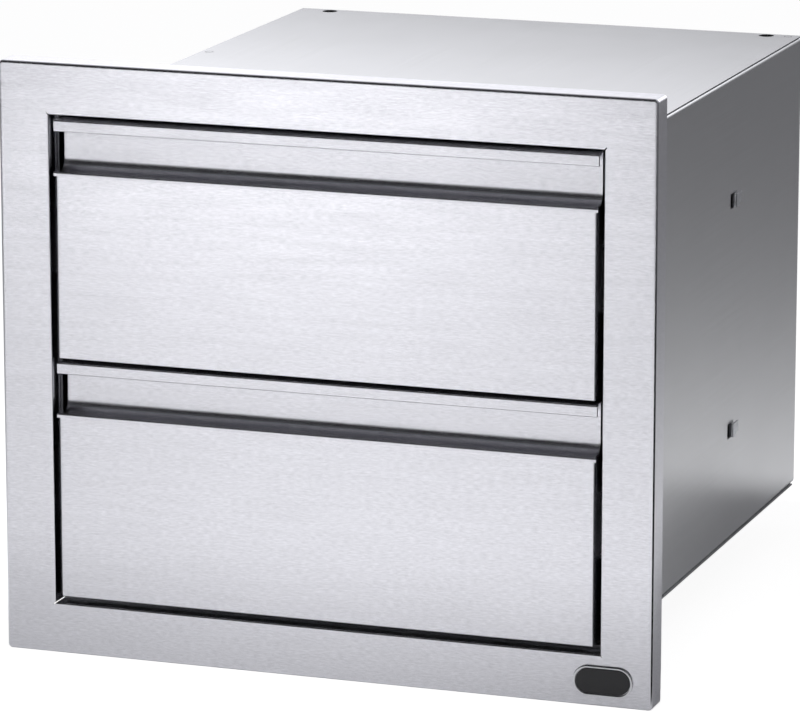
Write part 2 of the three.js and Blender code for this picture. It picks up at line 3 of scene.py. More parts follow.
import bmesh
import bpy
import numpy as np
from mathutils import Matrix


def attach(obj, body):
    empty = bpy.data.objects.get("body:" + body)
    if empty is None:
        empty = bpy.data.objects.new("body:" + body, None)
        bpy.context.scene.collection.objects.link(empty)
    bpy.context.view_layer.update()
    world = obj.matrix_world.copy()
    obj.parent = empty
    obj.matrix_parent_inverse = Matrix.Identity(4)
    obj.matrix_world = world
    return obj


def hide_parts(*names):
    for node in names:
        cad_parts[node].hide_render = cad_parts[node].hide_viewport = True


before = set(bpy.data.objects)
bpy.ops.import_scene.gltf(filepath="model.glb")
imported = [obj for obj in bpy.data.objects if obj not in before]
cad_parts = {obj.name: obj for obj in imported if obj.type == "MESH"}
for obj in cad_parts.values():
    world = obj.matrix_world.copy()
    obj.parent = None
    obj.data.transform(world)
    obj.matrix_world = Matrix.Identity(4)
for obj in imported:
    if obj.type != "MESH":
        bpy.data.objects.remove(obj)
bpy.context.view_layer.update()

# Lengths are in millimetres until a piece is made, +X to the viewer's right, +Y into the island, +Z up.


# Face frame
# One sheet of 304 stainless steel that laps the wall: folded back to the wall outside and into the opening
# inside, its outer corners welded and ground round, the corners of its opening left with relief slots.
# Brushed level to a No. 4 finish before it was folded, so the grain runs from side to side on every face.

frame_width, frame_height = 457.0, 405.0
frame_middle = 195.5
stile_width, rail_height = 35.7, 35.0
frame_sheet = 1.2
frame_corner = 3.0
frame_front = -21.4
frame_bend = 0.6
opening_bend = 0.05
inner_return = 20.0
wall_flange = 14.0
wall_flange_setback = 8.0
relief_reach = 1.77
relief_gap = 0.64
# A slot starts at a narrow row of the grid. The margins tell the rows past a slot's start or a bend apart.
slot_row, slot_margin, bend_margin = 0.05, 0.01, 0.1
tolerance = 1e-6
metre = 1000.0


def folded_line(corners, sheet, steps=8, support=0.5):
    """Middle line of a folded sheet, as points and left-hand normals, from corners (a, b, inside radius).

    Each corner becomes an arc that touches both of its straight runs, of the inside radius plus half the
    sheet. Extra points near each end of a run keep its flat part flat when shaded.
    """
    at = np.array([corner[:2] for corner in corners], float)
    inside = np.array([(*corner, 0.0)[2] for corner in corners])
    run = np.diff(at, axis=0)
    length = np.linalg.norm(run, axis=1)
    along = run / length[:, None]
    left = np.stack([-along[:, 1], along[:, 0]], axis=1)
    cross = along[:-1, 0] * along[1:, 1] - along[:-1, 1] * along[1:, 0]
    turn = np.arctan2(cross, (along[:-1] * along[1:]).sum(axis=1))
    radius = inside[1:-1] + sheet / 2
    reach = np.concatenate([[0.0], radius * np.tan(abs(turn) / 2), [0.0]])
    points, normals = [], []
    for i in range(len(run)):
        start, end = reach[i], length[i] - reach[i + 1]
        room = min(support, (end - start) / 3)
        stations = np.array([start, start + room, end - room, end])
        points.append(at[i] + along[i] * stations[:, None])
        normals.append(np.tile(left[i], (4, 1)))
        if i < len(turn) and abs(turn[i]) > tolerance:
            angle = turn[i] * np.arange(1, steps) / steps
            toward = left[i] * np.sign(turn[i])
            centre = points[-1][-1] + toward * radius[i]
            cos, sin = np.cos(angle), np.sin(angle)
            turned = [toward[0] * cos - toward[1] * sin, toward[0] * sin + toward[1] * cos]
            spoke = np.stack(turned, axis=1)
            points.append(centre - spoke * radius[i])
            normals.append(spoke * np.sign(turn[i]))
    return np.concatenate(points), np.concatenate(normals)


def sheet_solid(one, other, metal=None, closed=False):
    """Points, faces and cut faces of a closed sheet from its two skins, grids of points (rows, columns, 3).

    Both skins get a quad in each cell where `metal` is true, and a wall joins them along each cell edge
    that has no metal beyond it, where the sheet was cut. `closed` joins the last column to the first.
    """
    rows, columns = one.shape[:2]
    number = np.arange(rows * columns).reshape(rows, columns)
    if closed:
        number = np.concatenate([number, number[:, :1]], axis=1)
    if metal is None:
        metal = np.ones((rows - 1, number.shape[1] - 1), bool)
    beyond = np.pad(metal, 1)
    if closed:
        beyond[1:-1, 0], beyond[1:-1, -1] = metal[:, -1], metal[:, 0]
    a, b, c, d = number[:-1, :-1], number[1:, :-1], number[1:, 1:], number[:-1, 1:]
    shift = rows * columns
    points = np.concatenate([one.reshape(-1, 3), other.reshape(-1, 3)])
    faces = [np.stack([a, b, c, d], axis=-1)[metal], np.stack([d, c, b, a], axis=-1)[metal] + shift]
    edges = (
        (a, b, beyond[1:-1, :-2]),
        (b, c, beyond[2:, 1:-1]),
        (c, d, beyond[1:-1, 2:]),
        (d, a, beyond[:-2, 1:-1]),
    )
    for p, q, neighbour in edges:
        p, q = p[metal & ~neighbour], q[metal & ~neighbour]
        real = np.linalg.norm(points[p] - points[q], axis=1) > tolerance
        p, q = p[real], q[real]
        faces.append(np.stack([q, p, p + shift, q + shift], axis=-1))
    cut = np.repeat([False, True], [metal.sum() * 2, sum(map(len, faces[2:]))])
    return points, np.concatenate(faces), cut


def corner_columns(
    across, up_bottom, up_top, depth, size, middle, corner, gap, rail_ends, stile_ends, steps=6
):
    """Points of a section carried round a rectangle, a column for each step round its four corners.

    `across` and `up_...` say how far each point lies in from the outer edge of the stiles and of the rails.
    Nearer to the edge than the corner radius a corner is an arc, further in it is a mitre. In the rows of
    `gap` the corner is open: the rails stop at `rail_ends` and the stiles at `stile_ends` from the edge.
    """
    columns = []
    for sx, sz, first in ((1, 1, 0), (-1, 1, 90), (-1, -1, 180), (1, -1, 270)):
        up = up_top if sz > 0 else up_bottom
        rail_end = rail_ends[1 if sz > 0 else 0]
        stile_end = stile_ends[1 if sz > 0 else 0]
        angle = np.radians(first + np.linspace(0, 90, steps + 1))
        radius = np.maximum(corner - across, 0)
        centre_x = sx * (size[0] / 2 - np.maximum(across, corner))
        centre_z = middle + sz * (size[1] / 2 - np.maximum(up, corner))
        x = centre_x[:, None] + radius[:, None] * np.cos(angle)
        z = centre_z[:, None] + radius[:, None] * np.sin(angle)
        arc = np.stack([x, np.broadcast_to(depth[:, None], x.shape), z], axis=-1)
        stile_z = middle + sz * (size[1] / 2 - stile_end)
        stile = np.stack([sx * (size[0] / 2 - across), depth, stile_z], axis=-1)
        rail_x = sx * (size[0] / 2 - rail_end)
        rail = np.stack([rail_x, depth, middle + sz * (size[1] / 2 - up)], axis=-1)
        begins, ends = (stile, rail) if first in (0, 180) else (rail, stile)
        begins = np.where(gap[:, None], begins, arc[:, 0])
        ends = np.where(gap[:, None], ends, arc[:, -1])
        columns += [begins[:, None], arc, ends[:, None]]
    return np.concatenate(columns, axis=1)


def corner_metal(gap, steps=6):
    """Which cells of corner_columns are metal: all but those of a corner in the rows of `gap`."""
    whole = ~(gap[:-1] | gap[1:])
    one_corner = np.repeat(whole[:, None], steps + 2, axis=1)
    side = np.ones((len(whole), 1), bool)
    return np.concatenate([one_corner, side] * 4, axis=1)


def lay_grain(mesh):
    """UV map with its second axis along the brushing and its first across it, in metres.

    The grain is +X laid into each face, or +Y where the face looks sideways, and the direction across it is
    the cross product of the face's normal and the grain. Each vertex's dot products with the two are u and v.
    """
    sideways_from = 0.75
    count = len(mesh.polygons)
    normal = np.empty(count * 3, np.float32)
    mesh.polygons.foreach_get("normal", normal)
    normal = normal.reshape(-1, 3)
    sideways = abs(normal[:, 0]) > sideways_from
    grain = np.where(sideways[:, None], [0.0, 1.0, 0.0], [1.0, 0.0, 0.0])
    grain = grain - normal * (grain * normal).sum(axis=1)[:, None]
    grain /= np.linalg.norm(grain, axis=1)[:, None]
    over = np.cross(normal, grain)
    sides = np.empty(count, np.int32)
    mesh.polygons.foreach_get("loop_total", sides)
    face = np.repeat(np.arange(count), sides)
    vertex = np.empty(len(mesh.loops), np.int32)
    mesh.loops.foreach_get("vertex_index", vertex)
    place = np.empty(len(mesh.vertices) * 3, np.float32)
    mesh.vertices.foreach_get("co", place)
    place = place.reshape(-1, 3)[vertex]
    uv = np.stack([(place * over[face]).sum(axis=1), (place * grain[face]).sum(axis=1)], axis=1)
    mesh.uv_layers.new(name="grain").data.foreach_set("uv", uv.astype(np.float32).ravel())


def add_piece(name, solids, material, body, nodes, edge=0.0):
    """Makes one object from its solids, in place of its CAD nodes, and rides it on a body.

    A solid is its points, its faces and which of them were cut; cut faces get the sheared edge's material.
    `edge` is the width of the bevel that rounds its sharp edges.
    """
    same_point = 0.002 / metre
    smooth_below, bevel_above = math.radians(35), math.radians(60)
    start = np.cumsum([0] + [len(solid[0]) for solid in solids[:-1]])
    points = np.concatenate([solid[0] for solid in solids]) / metre
    faces = np.concatenate([solid[1] + begin for solid, begin in zip(solids, start)])
    cut = np.concatenate([solid[2] for solid in solids])
    mesh = bpy.data.meshes.new(name)
    mesh.from_pydata(points, [], faces.tolist())
    mesh.polygons.foreach_set("material_index", cut.astype(np.int32))
    whole = bmesh.new()
    whole.from_mesh(mesh)
    bmesh.ops.remove_doubles(whole, verts=whole.verts, dist=same_point)
    bmesh.ops.recalc_face_normals(whole, faces=whole.faces)
    whole.to_mesh(mesh)
    whole.free()
    mesh.shade_smooth()
    mesh.set_sharp_from_angle(angle=smooth_below)
    lay_grain(mesh)
    mesh.materials.append(material)
    if cut.any():
        mesh.materials.append(sheared_edge)
    piece = bpy.data.objects.new(name, mesh)
    bpy.context.scene.collection.objects.link(piece)
    if edge > 0:
        bevel = piece.modifiers.new("deburred edge", "BEVEL")
        bevel.width, bevel.segments = edge / metre, 2
        bevel.limit_method, bevel.angle_limit = "ANGLE", bevel_above
        bevel.harden_normals = True
    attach(piece, body)
    if nodes:
        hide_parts(*nodes)
    return piece


def linear(colour):
    """Linear RGBA of an sRGB hex colour: each channel c becomes ((c + 0.055) / 1.055) to the power 2.4."""
    channels = [int(colour[i:i + 2], 16) / 255 for i in (1, 3, 5)]
    bent = [c / 12.92 if c <= 0.04045 else ((c + 0.055) / 1.055) ** 2.4 for c in channels]
    return (*bent, 1.0)


def add_node(tree, kind, inputs=None, **settings):
    """Adds a node with its settings; each input takes a value, or the output socket that feeds it."""
    node = tree.nodes.new(kind)
    for name, value in settings.items():
        setattr(node, name, value)
    for key, value in (inputs or {}).items():
        if isinstance(value, bpy.types.NodeSocket):
            tree.links.new(value, node.inputs[key])
        else:
            node.inputs[key].default_value = value
    return node


def bare_material(name):
    """A new material and its node tree, still empty."""
    material = bpy.data.materials.new(name)
    material.use_nodes = True
    material.node_tree.nodes.clear()
    return material, material.node_tree


def brushed_stainless(name, smoothest, roughest):
    """304 stainless steel, No. 4 finish: belt-ground with 150 grit, so it has short level scratches.

    They spread light up and down far more than sideways. Real scratches are a few hundredths of a
    millimetre wide. Here they are drawn a millimetre wide, as fine as a render of the whole unit shows.
    """
    scratch_width, scratch_length = 1.0, 5.0
    band_width, band_length = 5.0, 60.0
    material, tree = bare_material(name)
    laid = add_node(tree, "ShaderNodeUVMap", uv_map="grain")
    scratch_scale = (metre / scratch_width, metre / scratch_length, 1.0)
    scratch_place = add_node(tree, "ShaderNodeMapping", {"Vector": laid.outputs[0], "Scale": scratch_scale})
    scratches = add_node(
        tree,
        "ShaderNodeTexNoise",
        {"Vector": scratch_place.outputs[0], "Scale": 1.0, "Detail": 2.0, "Roughness": 0.6},
    )
    band_scale = (metre / band_width, metre / band_length, 1.0)
    band_place = add_node(tree, "ShaderNodeMapping", {"Vector": laid.outputs[0], "Scale": band_scale})
    bands = add_node(
        tree, "ShaderNodeTexNoise", {"Vector": band_place.outputs[0], "Scale": 1.0, "Detail": 2.0}
    )
    colour = add_node(
        tree,
        "ShaderNodeMix",
        {0: scratches.outputs["Fac"], 6: linear("#C3C3C8"), 7: linear("#F5F5F9")},
        data_type="RGBA",
    )
    rough = add_node(
        tree, "ShaderNodeMapRange", {"Value": bands.outputs["Fac"], "To Min": smoothest, "To Max": roughest}
    )
    bump = add_node(
        tree,
        "ShaderNodeBump",
        {"Strength": 0.5, "Distance": 0.02 / metre, "Height": scratches.outputs["Fac"]},
    )
    across = add_node(tree, "ShaderNodeTangent", direction_type="UV_MAP", uv_map="grain")
    steel = add_node(
        tree,
        "ShaderNodeBsdfPrincipled",
        {
            "Base Color": colour.outputs[2],
            "Metallic": 1.0,
            "Roughness": rough.outputs[0],
            "Anisotropic": 0.7,
            "Normal": bump.outputs[0],
            "Tangent": across.outputs[0],
        },
    )
    add_node(tree, "ShaderNodeOutputMaterial", {"Surface": steel.outputs[0]})
    return material


def grained_material(name, grain_size, detail, tones, relief, shader):
    """A material with an even grain: one noise shades it between two tones and raises its surface.

    `relief` is the bump's strength and height, and `shader` holds the surface's other settings.
    """
    strength, height = relief
    material, tree = bare_material(name)
    place = add_node(tree, "ShaderNodeTexCoord")
    grain = add_node(
        tree,
        "ShaderNodeTexNoise",
        {"Vector": place.outputs["Object"], "Scale": metre / grain_size, "Detail": detail},
    )
    tone = add_node(
        tree,
        "ShaderNodeMix",
        {0: grain.outputs["Fac"], 6: linear(tones[0]), 7: linear(tones[1])},
        data_type="RGBA",
    )
    bump = add_node(
        tree,
        "ShaderNodeBump",
        {"Strength": strength, "Distance": height / metre, "Height": grain.outputs["Fac"]},
    )
    surface = add_node(
        tree,
        "ShaderNodeBsdfPrincipled",
        {"Base Color": tone.outputs[2], "Normal": bump.outputs[0], **shader},
    )
    add_node(tree, "ShaderNodeOutputMaterial", {"Surface": surface.outputs[0]})
    return material


brushed_steel = brushed_stainless("stainless_no4_brushed", smoothest=0.18, roughest=0.26)

# The sheared edge of stainless sheet is grey and dull, torn into lines about half a millimetre apart.
sheared_edge = grained_material(
    "stainless_sheared_edge",
    grain_size=0.5,
    detail=2.0,
    tones=("#6E6E72", "#8C8C90"),
    relief=(0.4, 0.03),
    shader={"Metallic": 1.0, "Roughness": 0.5},
)


def frame_section(width):
    """Section of the frame from the end of the wall flange to the end of the inner return, as [in, depth].

    A narrow row marks where the relief slots in the corners of the opening start.
    """
    half = frame_sheet / 2
    face = frame_front + half
    slot_start = width - relief_reach
    return folded_line(
        [
            (wall_flange, -half),
            (half, -half, frame_bend),
            (half, face, frame_bend),
            (frame_corner, face),
            (slot_start, face),
            (slot_start + slot_row, face),
            (width - half, face, opening_bend),
            (width - half, frame_front + inner_return),
        ],
        frame_sheet,
    )


def face_frame():
    """The section carried round the frame, with open corners at the wall flange and at the relief slots."""
    stile_line, stile_normal = frame_section(stile_width)
    rail_line, rail_normal = frame_section(rail_height)
    at_wall = stile_line[:, 1] > -frame_sheet - frame_bend - bend_margin
    flange_rows = at_wall & (stile_line[:, 0] < stile_width / 2)
    slot_rows = stile_line[:, 0] > stile_width - relief_reach + slot_margin
    open_rows = flange_rows | slot_rows
    skins = []
    for side in (-frame_sheet / 2, frame_sheet / 2):
        across, depth = (stile_line + stile_normal * side).T
        up = (rail_line + rail_normal * side)[:, 0]
        rail_end = np.where(flange_rows, wall_flange_setback, across + relief_gap)
        stile_end = np.where(flange_rows, wall_flange + wall_flange_setback, up + relief_gap)
        skins.append(
            corner_columns(
                across, up, up, depth, (frame_width, frame_height), frame_middle, frame_corner,
                open_rows, (rail_end, rail_end), (stile_end, stile_end),
            )
        )
    return sheet_solid(*skins, corner_metal(open_rows), closed=True)


add_piece("frame", [face_frame()], brushed_steel, "cabinet", ["face_frame"])


# Blank plate on the frame
# A small stadium-shaped plate at the lower right: a polished zinc-alloy casting whose raised rim surrounds
# a field of black enamel. It is pinned to the frame from behind.

plate_width, plate_height = 41.0, 20.6
plate_centre = (195.0, 10.3)
plate_thickness = 1.6
plate_rim = 1.6
enamel_gap = 0.3
enamel_thickness = 1.1


def stadium_rings(inset, height, steps=24):
    """Rings of a stadium: two half circles, made smaller by `inset`, and `height` in front of the frame."""
    half = (plate_width - plate_height) / 2
    right = np.linspace(-90, 90, steps + 1)
    angle = np.radians(np.concatenate([right, right + 180]))
    shift = np.repeat([half, -half], steps + 1)
    radius = plate_height / 2 - np.asarray(inset, float)
    x = plate_centre[0] + shift + radius[:, None] * np.cos(angle)
    z = plate_centre[1] + radius[:, None] * np.sin(angle)
    y = frame_front - np.asarray(height, float)[:, None] + np.zeros_like(x)
    return np.stack([x, y, z], axis=-1)


def ring_faces(rings, closed_section):
    """A solid of quads between neighbouring rings; a closed section joins the last ring to the first."""
    rows, columns = rings.shape[:2]
    number = np.arange(rows * columns).reshape(rows, columns)
    number = np.concatenate([number, number[:, :1]], axis=1)
    if closed_section:
        number = np.concatenate([number, number[:1]], axis=0)
    a, b, c, d = number[:-1, :-1], number[1:, :-1], number[1:, 1:], number[:-1, 1:]
    faces = np.stack([a, b, c, d], axis=-1).reshape(-1, 4)
    return rings.reshape(-1, 3), faces, np.zeros(len(faces), bool)


def polished_casting():
    """Die-cast zinc alloy, polished and chrome plated: bright, with faint ripples left by the polishing."""
    ripple_size = 3.0
    material, tree = bare_material("chrome_plated_casting")
    place = add_node(tree, "ShaderNodeTexCoord")
    ripples = add_node(
        tree,
        "ShaderNodeTexNoise",
        {"Vector": place.outputs["Object"], "Scale": metre / ripple_size, "Detail": 2.0},
    )
    rough = add_node(
        tree, "ShaderNodeMapRange", {"Value": ripples.outputs["Fac"], "To Min": 0.1, "To Max": 0.2}
    )
    bump = add_node(
        tree, "ShaderNodeBump", {"Strength": 0.3, "Distance": 0.02 / metre, "Height": ripples.outputs["Fac"]}
    )
    chrome = add_node(
        tree,
        "ShaderNodeBsdfPrincipled",
        {
            "Base Color": linear("#D9DADC"),
            "Metallic": 1.0,
            "Roughness": rough.outputs[0],
            "Normal": bump.outputs[0],
        },
    )
    add_node(tree, "ShaderNodeOutputMaterial", {"Surface": chrome.outputs[0]})
    return material


# The rim's crown is half an ellipse.
turn = np.linspace(0, np.pi, 9)
crown = plate_rim / 2
crown_rise = crown * 0.6
rim_inset = np.concatenate([crown - crown * np.cos(turn), [plate_rim, 0.0]])
rim_height = np.concatenate([plate_thickness - crown_rise + crown_rise * np.sin(turn), [0.0, 0.0]])
rim_solid = ring_faces(stadium_rings(rim_inset, rim_height), closed_section=True)
add_piece("plate_rim", [rim_solid], polished_casting(), "cabinet", ["badge_rim"])

# Black baked enamel is a glossy film with a slight orange peel about a millimetre across.
enamel = grained_material(
    "black_baked_enamel",
    grain_size=1.0,
    detail=1.0,
    tones=("#121214", "#19191B"),
    relief=(0.25, 0.02),
    shader={"Roughness": 0.28},
)

# Its edge is rounded with a quarter circle.
edge_round = 0.3
turn = np.linspace(0, np.pi / 2, 5)
field_edge, field_inner, field_middle = plate_rim + enamel_gap, 7.0, plate_height / 2
rounded_inset = field_edge + edge_round * (1 - np.cos(turn))
rounded_height = enamel_thickness - edge_round * (1 - np.sin(turn))
enamel_inset = np.concatenate([[field_middle, field_edge], rounded_inset, [field_inner, field_middle]])
enamel_height = np.concatenate([[0.0, 0.0], rounded_height, [enamel_thickness, enamel_thickness]])
enamel_solid = ring_faces(stadium_rings(enamel_inset, enamel_height), closed_section=False)
add_piece("plate_enamel", [enamel_solid], enamel, "cabinet", ["badge_inlay"])


# Cabinet sides
# Channels of 1 mm mill-finish stainless sheet with bent edges above and below, spot-welded to the top and
# bottom sheets. Each has two slots, through which the slides hook in from inside.

cabinet_half = 192.3
cabinet_low, cabinet_high = 28.5, 362.5
cabinet_front, cabinet_rear = -7.4, 459.6
cabinet_sheet = 1.0
cabinet_bend = 2.0
cabinet_flange = 16.0
slot_front, slot_rear, slot_height = 278.1, 286.6, 10.6
slide_middles = (108.7, 273.6)


def mill_stainless():
    """304 stainless steel as rolled, 2B finish: smooth and satin, with a faint haze and rolling lines.

    It mirrors softly and evenly in every direction. The rolling lines are drawn 1.5 mm wide, coarser
    than the real ones, so that a render can show them.
    """
    haze_size = 60.0
    line_width, line_length = 1.5, 180.0
    material, tree = bare_material("stainless_2b_mill")
    place = add_node(tree, "ShaderNodeTexCoord")
    haze = add_node(
        tree,
        "ShaderNodeTexNoise",
        {"Vector": place.outputs["Object"], "Scale": metre / haze_size, "Detail": 4.0, "Roughness": 0.6},
    )
    line_scale = (metre / line_width, metre / line_length, metre / line_width)
    line_place = add_node(
        tree, "ShaderNodeMapping", {"Vector": place.outputs["Object"], "Scale": line_scale}
    )
    lines = add_node(
        tree, "ShaderNodeTexNoise", {"Vector": line_place.outputs[0], "Scale": 1.0, "Detail": 2.0}
    )
    colour = add_node(
        tree,
        "ShaderNodeMix",
        {0: lines.outputs["Fac"], 6: linear("#D0D1D1"), 7: linear("#DADBDC")},
        data_type="RGBA",
    )
    rough = add_node(
        tree,
        "ShaderNodeMapRange",
        {"Value": haze.outputs["Fac"], "From Min": 0.3, "From Max": 0.7, "To Min": 0.2, "To Max": 0.25},
    )
    bump = add_node(
        tree, "ShaderNodeBump", {"Strength": 0.3, "Distance": 0.2 / metre, "Height": haze.outputs["Fac"]}
    )
    steel = add_node(
        tree,
        "ShaderNodeBsdfPrincipled",
        {
            "Base Color": colour.outputs[2],
            "Metallic": 1.0,
            "Roughness": rough.outputs[0],
            "Normal": bump.outputs[0],
        },
    )
    add_node(tree, "ShaderNodeOutputMaterial", {"Surface": steel.outputs[0]})
    return material


mill_steel = mill_stainless()


def drawn_along(axis, corners, sheet, stations, mirror=False, keep=None, steps=8):
    """A folded section drawn in the two other axes and carried along `axis` through the stations.

    `keep` says which cells are metal, from the section's middle line and the stations as two grids.
    """
    line, normal = folded_line(corners, sheet, steps)
    stations = np.asarray(stations, float)
    skins = []
    for side in (-sheet / 2, sheet / 2):
        section = line + normal * side
        a = np.repeat(section[:, :1], len(stations), axis=1)
        b = np.repeat(section[:, 1:], len(stations), axis=1)
        c = np.repeat(stations[None], len(section), axis=0)
        order = {"x": (c, a, b), "y": (a, c, b), "z": (a, b, c)}[axis]
        skins.append(np.stack(order, axis=-1) * ((-1, 1, 1) if mirror else (1, 1, 1)))
    metal = None
    if keep is not None:
        middle = (line[1:] + line[:-1]) / 2
        between = (stations[1:] + stations[:-1]) / 2
        metal = keep(middle[:, 0][:, None], middle[:, 1][:, None], between[None])
        metal = np.broadcast_to(metal, (len(middle), len(between)))
    return sheet_solid(*skins, metal)


def side_keep(x, z, y):
    """Metal everywhere but in the two hook slots of the side's flat web."""
    in_web = (x < -cabinet_half + cabinet_sheet) & (y > slot_front) & (y < slot_rear)
    near = np.minimum(abs(z - slide_middles[0]), abs(z - slide_middles[1]))
    return ~(in_web & (near < slot_height / 2))


web = -cabinet_half + cabinet_sheet / 2
edge_inset = cabinet_sheet + cabinet_sheet / 2
low, high = cabinet_low + edge_inset, cabinet_high - edge_inset
flange_tip = -cabinet_half + cabinet_flange
side_corners = [
    (flange_tip, low),
    (web, low, cabinet_bend),
    *[(web, middle + sign * slot_height / 2) for middle in slide_middles for sign in (-1, 1)],
    (web, high, cabinet_bend),
    (flange_tip, high),
]
side_stations = [cabinet_front, slot_front, slot_rear, cabinet_rear]
both_sides = (("left", False), ("right", True))
for side, mirror in both_sides:
    name = f"cabinet_side_{side}"
    solid = drawn_along("y", side_corners, cabinet_sheet, side_stations, mirror, side_keep)
    add_piece(f"{name}_sheet", [solid], mill_steel, "cabinet", [name])


# Cabinet top
# A flat sheet of the same steel, spot-welded onto the bent edges of the sides, with a round hole near each
# rear corner. Two of its welds left faint rings where the electrodes pressed.

hole_x, hole_y, hole_radius = 168.2, 452.1, 5.5
hole_square, hole_reach = 5.0, 6.1
around = np.concatenate([[-hole_reach], np.linspace(-hole_square, hole_square, 9), [hole_reach]])
weld_places = [(-185.6, 251.3), (184.1, 452.8)]
weld_radius, weld_ridge, weld_rise = 2.7, 0.35, 0.07


def drawn_to_hole(x, y, centre):
    """Moves grid points so that the square round `centre` becomes the hole's circle.

    With m the larger of the two distances from the centre, a point goes to the circle in its own
    direction where m is hole_square, stays where m is hole_reach, and moves in proportion in between.
    """
    dx, dy = x - centre[0], y - centre[1]
    m = np.maximum(abs(dx), abs(dy))
    distance = np.hypot(dx, dy)
    near = (m < hole_reach) & (distance > 0)
    share = np.clip((m - hole_square) / (hole_reach - hole_square), 0, 1)
    scale = np.where(near, (1 - share) * hole_radius / np.where(near, distance, 1) + share, 1.0)
    return centre[0] + dx * scale, centre[1] + dy * scale


def weld_ring(x, y, steps=32):
    """A low ridge: a diamond carried round a circle, with its upper half standing out of the sheet."""
    across = weld_radius + weld_ridge * np.array([-1.0, 0.0, 1.0, 0.0])
    height = cabinet_high + weld_rise * np.array([0.0, 1.0, 0.0, -1.0])
    angle = np.radians(np.linspace(0, 360, steps + 1)[:-1])
    ring_x = x + across[:, None] * np.cos(angle)
    ring_y = y + across[:, None] * np.sin(angle)
    ring_z = np.repeat(height[:, None], steps, axis=1)
    return ring_faces(np.stack([ring_x, ring_y, ring_z], axis=-1), closed_section=True)


def top_sheet():
    """A flat grid with closer lines round the two holes: the points there are drawn to the holes' circles."""
    across = np.concatenate([[-cabinet_half], around - hole_x, around + hole_x, [cabinet_half]])
    along = np.concatenate([[cabinet_front], around + hole_y, [cabinet_rear]])
    x, y = np.meshgrid(across, along, indexing="ij")
    cell_x = (across[1:, None] + across[:-1, None]) / 2
    cell_y = (along[1:] + along[:-1]) / 2
    in_hole = (abs(abs(cell_x) - hole_x) < hole_square) & (abs(cell_y - hole_y) < hole_square)
    x, y = drawn_to_hole(*drawn_to_hole(x, y, (-hole_x, hole_y)), (hole_x, hole_y))
    levels = (cabinet_high - cabinet_sheet, cabinet_high)
    return sheet_solid(*[np.stack([x, y, np.full_like(x, z)], axis=-1) for z in levels], ~in_hole)


solid = top_sheet()
add_piece("cabinet_top_sheet", [solid], mill_steel, "cabinet", ["cabinet_top"], edge=0.2)
weld_rings = [weld_ring(x, y) for x, y in weld_places]
add_piece("cabinet_top_weld_rings", weld_rings, sheared_edge, "cabinet", [])


# Cabinet bottom
# The matching sheet below, turned up at the rear inside the back, and notched at both rear corners.

sheet_rear = 458.8
rear_line = sheet_rear - cabinet_sheet / 2
bottom_line = cabinet_low + cabinet_sheet / 2
notch_gap = 0.5
notch_half = cabinet_half - cabinet_flange - notch_gap
turned_up_from = sheet_rear - cabinet_sheet - cabinet_bend
bottom_corners = [
    (cabinet_front, bottom_line),
    (rear_line, bottom_line, cabinet_bend),
    (rear_line, cabinet_low + cabinet_flange),
]
bottom_stations = [-cabinet_half, -notch_half, notch_half, cabinet_half]
solid = drawn_along(
    "x", bottom_corners, cabinet_sheet, bottom_stations,
    keep=lambda y, z, x: (abs(x) < notch_half) | (y < turned_up_from),
)
add_piece("cabinet_bottom_sheet", [solid], mill_steel, "cabinet", ["cabinet_bottom"])


# Cabinet back
# A pan of 0.8 mm sheet between the sides and under the top, its edges folded forward and welded to them. Its
# upper edge has holes in line with those of the top, and its corners clear the folded edges of the sides.

back_sheet, back_bend = 0.8, 0.6
back_half, back_top = 191.2, 361.5
back_flange, back_side_flange = 16.0, 6.0
corner_half, corner_gap = 175.8, 1.1
corner_notch_half, corner_notch_height = 189.3, 3.0


def with_stations(line, normal, run, axis, stations):
    """Puts further points into one straight run of a line, where they belong along an axis.

    `run` says from which point to which the run goes: folded_line gives a run 4 points and a bend 7.
    """
    start, end = run
    sense = np.sign(line[end - 1, axis] - line[start, axis])
    order = start + np.searchsorted(sense * line[start:end, axis], sense * stations)
    points = np.repeat(line[start:start + 1], len(stations), axis=0)
    points[:, axis] = stations
    return np.insert(line, order, points, axis=0), np.insert(normal, order, normal[start], axis=0)


